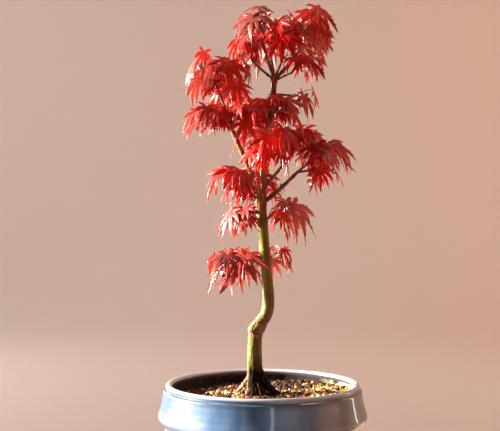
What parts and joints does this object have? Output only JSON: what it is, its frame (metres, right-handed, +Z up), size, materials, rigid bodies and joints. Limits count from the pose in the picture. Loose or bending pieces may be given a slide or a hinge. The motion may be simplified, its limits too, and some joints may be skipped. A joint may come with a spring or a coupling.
{
  "type": "potted bonsai maple tree",
  "caption": "Young Japanese maple trained as a bonsai, with drooping crimson palmate leaves on a kinked slender trunk, in a round blue-grey glazed pot with a flared collar.",
  "frame": {"origin": "middle of the pot's flat underside, on the surface it stands on", "axes": "+Z up, +X to the right and +Y away from the viewer of the side that shows the trunk's kink to the left"},
  "size_m": [0.209, 0.209, 0.5076],
  "materials": {
    "glaze": "glossy slate-blue glaze, paler on the lip",
    "compost": "loose baked-clay grains, matte",
    "bark": "smooth yellow-green bark, dark brown at the foot",
    "young_bark": "smooth dark red-brown young bark",
    "leaf": "satin crimson to scarlet leaf"
  },
  "bodies": {
    "root": {"pot": "glaze", "compost": "compost", "trunk": "bark", "bough_left": "bark", "bough_right_high": "young_bark", "bough_right_low": "young_bark", "bough_top_back": "young_bark", "bough_top_far_left": "young_bark", "bough_top_front": "young_bark", "bough_top_left": "young_bark", "bough_top_low_right": "young_bark", "bough_top_right": "young_bark", "foliage_centre_back": "leaf", "foliage_centre_left": "leaf", "foliage_centre_low": "leaf", "foliage_centre_low_back": "leaf", "foliage_centre_right": "leaf", "foliage_far_left": "leaf", "foliage_low_left": "leaf", "foliage_low_right": "leaf", "foliage_lowest_left": "leaf", "foliage_lowest_right": "leaf", "foliage_middle_back": "leaf", "foliage_middle_left": "leaf", "foliage_right_droop": "leaf", "foliage_right_inner": "leaf", "foliage_right_outer": "leaf", "foliage_right_small": "leaf", "foliage_top_back": "leaf", "foliage_top_far_left": "leaf", "foliage_top_front": "leaf", "foliage_top_left": "leaf", "foliage_top_low_right": "leaf", "foliage_top_right": "leaf", "foliage_upper_back": "leaf", "foliage_upper_inner": "leaf", "foliage_upper_left": "leaf"}
  },
  "joints": []
}
